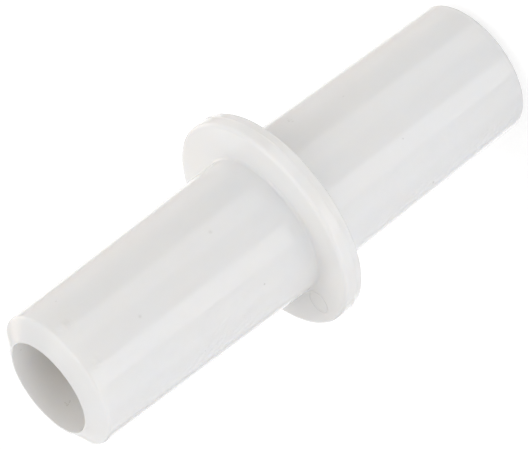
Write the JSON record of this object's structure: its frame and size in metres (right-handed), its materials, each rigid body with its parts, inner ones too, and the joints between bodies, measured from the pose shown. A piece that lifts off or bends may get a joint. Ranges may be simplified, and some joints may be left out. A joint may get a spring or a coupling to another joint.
{
  "type": "hose coupler",
  "caption": "Straight white plastic tube with a smooth tapered spigot at each end and a collar between them, for joining two drain hoses end to end.",
  "frame": {"origin": "the middle of the collar, on the tube's axis", "axes": "+Z along the tube's axis; the part stands on its lower end"},
  "size_m": [0.03, 0.03, 0.075],
  "materials": {
    "white_plastic": "satin white moulded polypropylene"
  },
  "bodies": {
    "root": {"coupler": "white_plastic"}
  },
  "joints": []
}
